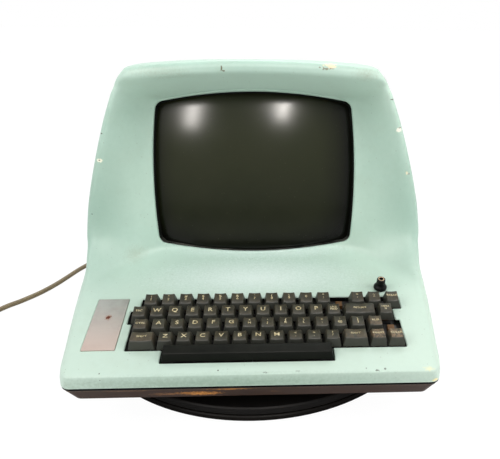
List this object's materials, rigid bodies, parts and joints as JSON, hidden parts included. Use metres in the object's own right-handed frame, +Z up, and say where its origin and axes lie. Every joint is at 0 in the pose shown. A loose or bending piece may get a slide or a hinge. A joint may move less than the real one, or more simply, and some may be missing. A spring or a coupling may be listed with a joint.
{
  "type": "computer terminal",
  "caption": "Desktop display terminal: hooded picture tube over a sloping keyboard in a hinged clamshell housing, on a round swivel base, with its mains lead.",
  "frame": {"origin": "on the table under the swivel axis, at the middle of the object's footprint", "axes": "+X to the viewer's right, +Y to the rear, +Z up"},
  "size_m": [0.711, 0.5453, 0.3582],
  "materials": {
    "shell_mint": "moulded housing, satin with handling wear",
    "tray_brown": "dark brown moulded tray, scuffed",
    "disc_black": "satin black turntable",
    "disc_grey": "dark grey turntable plate",
    "key_charcoal": "double shot key caps, polished by use and grimy",
    "plunger_brown": "brown switch plunger",
    "switch_black": "switch housings and sockets",
    "plate_aluminium": "brushed plate with a spot of rust",
    "knob_black": "moulded knob",
    "gasket_black": "moulded bezel gasket",
    "tube_glass": "grey face glass over phosphor",
    "steel": "plated steel",
    "rubber_black": "moulded rubber",
    "board_green": "solder masked circuit board",
    "board_tan": "phenolic circuit board",
    "winding": "varnished copper winding",
    "can_blue": "sleeved capacitor can",
    "dip_red": "red switch blocks",
    "lead_taupe": "round mains lead, taupe sheath"
  },
  "bodies": {
    "swivel_base": {"swivel_base": "disc_black", "bearing_ring": "steel"},
    "terminal": {"swivel_top": "disc_grey", "rubber_feet": "rubber_black", "base_tray": "tray_brown", "rear_panel": "steel", "switch_housing": "switch_black", "fuse_holder": "switch_black", "data_connectors": "steel", "strain_relief": "rubber_black", "power_transformer": "steel", "capacitors": "can_blue", "heat_sink": "switch_black", "beeper": "switch_black", "logic_board": "board_green", "logic_chips": "switch_black", "option_switches": "dip_red", "key_switches": "switch_black", "case_screws": "steel", "hinge_leaves_tray": "steel", "hinge_pins": "steel", "power_cord": "lead_taupe", "cord_coil": "lead_taupe", "plug": "rubber_black"},
    "lid": {"upper_shell": "shell_mint", "hinge_leaves_shell": "steel", "contrast_pot": "steel", "screen_gasket": "gasket_black", "picture_tube": "tube_glass", "tube_band": "steel", "tube_screws": "steel", "deflection_yoke": "winding", "neck_socket": "switch_black", "monitor_board": "board_tan", "flyback": "switch_black"},
    "contrast_knob": {"contrast_knob": "knob_black"},
    "cover_plate": {"cover_plate": "plate_aluminium"},
    "power_switch": {"power_switch": "switch_black"},
    "bare_plungers": {"bare_plungers": "plunger_brown"},
    "digit_keys_left": {"digit_keys_left": "key_charcoal"},
    "digit_keys_right": {"digit_keys_right": "key_charcoal"},
    "number_row_end_keys": {"number_row_end_keys": "key_charcoal"},
    "top_letters_left": {"top_letters_left": "key_charcoal"},
    "top_letters_right": {"top_letters_right": "key_charcoal"},
    "home_letters_left": {"home_letters_left": "key_charcoal"},
    "home_letters_right": {"home_letters_right": "key_charcoal"},
    "bottom_letters_left": {"bottom_letters_left": "key_charcoal"},
    "bottom_letters_right": {"bottom_letters_right": "key_charcoal"},
    "break_key": {"break_key": "key_charcoal"},
    "escape_key": {"escape_key": "key_charcoal"},
    "line_feed_key": {"line_feed_key": "key_charcoal"},
    "return_key": {"return_key": "key_charcoal"},
    "here_key": {"here_key": "key_charcoal"},
    "control_key": {"control_key": "key_charcoal"},
    "rubout_key": {"rubout_key": "key_charcoal"},
    "shift_left_key": {"shift_left_key": "key_charcoal"},
    "shift_right_key": {"shift_right_key": "key_charcoal"},
    "repeat_key": {"repeat_key": "key_charcoal"},
    "clear_key": {"clear_key": "key_charcoal"},
    "space_bar": {"space_bar": "key_charcoal"}
  },
  "joints": [
    {"name": "swivel", "type": "hinge", "parent": "swivel_base", "child": "terminal", "pos_m": [0, 0, 0], "axis": [0, 0, 1], "range_deg": [-170, 170]},
    {"name": "lid_hinge", "type": "hinge", "parent": "terminal", "child": "lid", "pos_m": [0, 0.2332, 0.0612], "axis": [-1, 0, 0], "range_deg": [0, 70]},
    {"name": "contrast_turn", "type": "hinge", "parent": "lid", "child": "contrast_knob", "pos_m": [0.1473, -0.11634, 0.1054], "axis": [0, -0.2419, 0.9703], "range_deg": [-140, 140]},
    {"name": "plate_lift", "type": "slide", "parent": "lid", "child": "cover_plate", "axis": [0, -0.2419, 0.9703], "range_m": [0, 0.02]},
    {"name": "power_rocker", "type": "hinge", "parent": "terminal", "child": "power_switch", "pos_m": [0.14, 0.2156, 0.04845], "axis": [1, 0, 0], "range_deg": [-16, 0]},
    {"name": "press_digit_keys_left", "type": "slide", "parent": "terminal", "child": "digit_keys_left", "axis": [0, 0.2419, -0.9703], "range_m": [0, 0.0038], "stiffness_N_per_m": 750, "springref_m": -0.003},
    {"name": "press_digit_keys_right", "type": "slide", "parent": "terminal", "child": "digit_keys_right", "axis": [0, 0.2419, -0.9703], "range_m": [0, 0.0038], "stiffness_N_per_m": 750, "springref_m": -0.003},
    {"name": "press_number_row_end_keys", "type": "slide", "parent": "terminal", "child": "number_row_end_keys", "axis": [0, 0.2419, -0.9703], "range_m": [0, 0.0038], "stiffness_N_per_m": 450, "springref_m": -0.003},
    {"name": "press_top_letters_left", "type": "slide", "parent": "terminal", "child": "top_letters_left", "axis": [0, 0.2419, -0.9703], "range_m": [0, 0.0038], "stiffness_N_per_m": 750, "springref_m": -0.003},
    {"name": "press_top_letters_right", "type": "slide", "parent": "terminal", "child": "top_letters_right", "axis": [0, 0.2419, -0.9703], "range_m": [0, 0.0038], "stiffness_N_per_m": 750, "springref_m": -0.003},
    {"name": "press_home_letters_left", "type": "slide", "parent": "terminal", "child": "home_letters_left", "axis": [0, 0.2419, -0.9703], "range_m": [0, 0.0038], "stiffness_N_per_m": 750, "springref_m": -0.003},
    {"name": "press_home_letters_right", "type": "slide", "parent": "terminal", "child": "home_letters_right", "axis": [0, 0.2419, -0.9703], "range_m": [0, 0.0038], "stiffness_N_per_m": 1050, "springref_m": -0.003},
    {"name": "press_bottom_letters_left", "type": "slide", "parent": "terminal", "child": "bottom_letters_left", "axis": [0, 0.2419, -0.9703], "range_m": [0, 0.0038], "stiffness_N_per_m": 750, "springref_m": -0.003},
    {"name": "press_bottom_letters_right", "type": "slide", "parent": "terminal", "child": "bottom_letters_right", "axis": [0, 0.2419, -0.9703], "range_m": [0, 0.0038], "stiffness_N_per_m": 750, "springref_m": -0.003},
    {"name": "press_break_key", "type": "slide", "parent": "terminal", "child": "break_key", "axis": [0, 0.2419, -0.9703], "range_m": [0, 0.0038], "stiffness_N_per_m": 150, "springref_m": -0.003},
    {"name": "press_escape_key", "type": "slide", "parent": "terminal", "child": "escape_key", "axis": [0, 0.2419, -0.9703], "range_m": [0, 0.0038], "stiffness_N_per_m": 150, "springref_m": -0.003},
    {"name": "press_line_feed_key", "type": "slide", "parent": "terminal", "child": "line_feed_key", "axis": [0, 0.2419, -0.9703], "range_m": [0, 0.0038], "stiffness_N_per_m": 150, "springref_m": -0.003},
    {"name": "press_return_key", "type": "slide", "parent": "terminal", "child": "return_key", "axis": [0, 0.2419, -0.9703], "range_m": [0, 0.0038], "stiffness_N_per_m": 150, "springref_m": -0.003},
    {"name": "press_here_key", "type": "slide", "parent": "terminal", "child": "here_key", "axis": [0, 0.2419, -0.9703], "range_m": [0, 0.0038], "stiffness_N_per_m": 150, "springref_m": -0.003},
    {"name": "press_control_key", "type": "slide", "parent": "terminal", "child": "control_key", "axis": [0, 0.2419, -0.9703], "range_m": [0, 0.0038], "stiffness_N_per_m": 150, "springref_m": -0.003},
    {"name": "press_rubout_key", "type": "slide", "parent": "terminal", "child": "rubout_key", "axis": [0, 0.2419, -0.9703], "range_m": [0, 0.0038], "stiffness_N_per_m": 150, "springref_m": -0.003},
    {"name": "press_shift_left_key", "type": "slide", "parent": "terminal", "child": "shift_left_key", "axis": [0, 0.2419, -0.9703], "range_m": [0, 0.0038], "stiffness_N_per_m": 150, "springref_m": -0.003},
    {"name": "press_shift_right_key", "type": "slide", "parent": "terminal", "child": "shift_right_key", "axis": [0, 0.2419, -0.9703], "range_m": [0, 0.0038], "stiffness_N_per_m": 150, "springref_m": -0.003},
    {"name": "press_repeat_key", "type": "slide", "parent": "terminal", "child": "repeat_key", "axis": [0, 0.2419, -0.9703], "range_m": [0, 0.0038], "stiffness_N_per_m": 150, "springref_m": -0.003},
    {"name": "press_clear_key", "type": "slide", "parent": "terminal", "child": "clear_key", "axis": [0, 0.2419, -0.9703], "range_m": [0, 0.0038], "stiffness_N_per_m": 150, "springref_m": -0.003},
    {"name": "press_space_bar", "type": "slide", "parent": "terminal", "child": "space_bar", "axis": [0, 0.2419, -0.9703], "range_m": [0, 0.0038], "stiffness_N_per_m": 250, "springref_m": -0.003},
    {"name": "press_bare_plungers", "type": "slide", "parent": "terminal", "child": "bare_plungers", "axis": [0, 0.2419, -0.9703], "range_m": [0, 0.0038], "stiffness_N_per_m": 300, "springref_m": -0.003}
  ]
}
